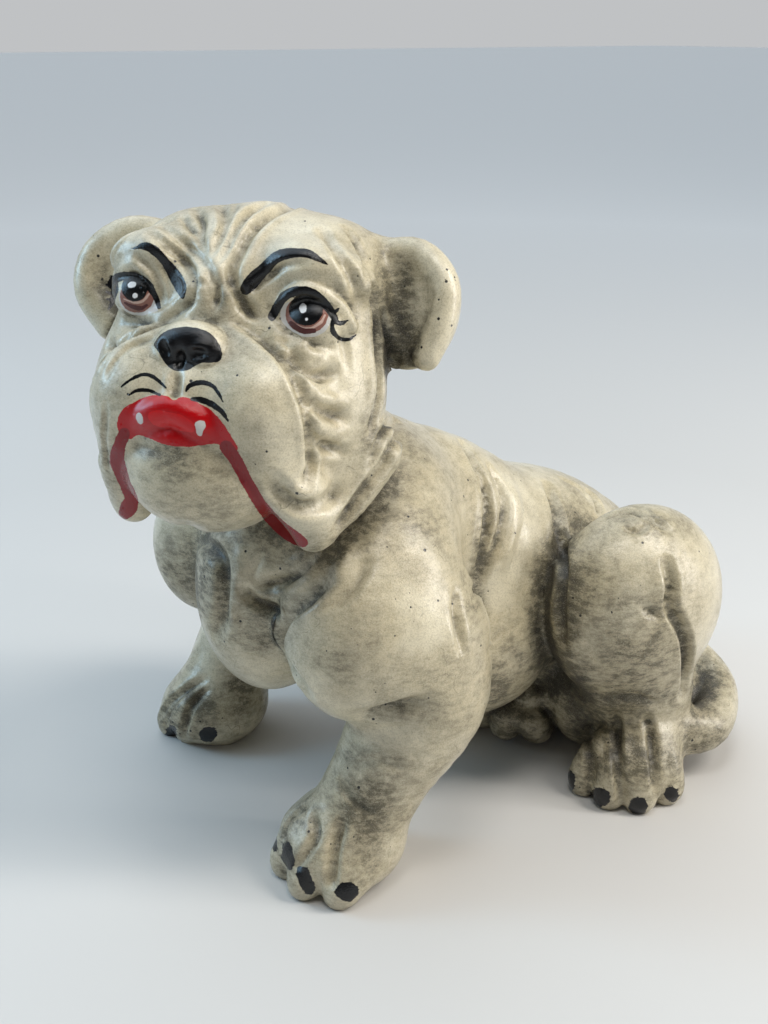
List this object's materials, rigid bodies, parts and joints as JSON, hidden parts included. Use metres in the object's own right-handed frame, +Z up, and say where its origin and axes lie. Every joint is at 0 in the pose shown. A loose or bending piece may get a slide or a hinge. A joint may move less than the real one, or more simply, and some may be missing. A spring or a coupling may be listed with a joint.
{
  "type": "bulldog garden statue",
  "caption": "Sitting bulldog cast in one piece in sealed concrete, head turned to its left, with a painted face and painted nails.",
  "frame": {"origin": "middle of the statue's bounding box at its base, on the plane it sits on", "axes": "+Z up, the dog faces -Y and its left side is +X; +Y is the long axis, from the front paws to the rump"},
  "size_m": [0.3523, 0.5107, 0.4596],
  "materials": {
    "concrete": null
  },
  "bodies": {
    "root": {"bulldog_statue": "concrete"}
  },
  "joints": []
}
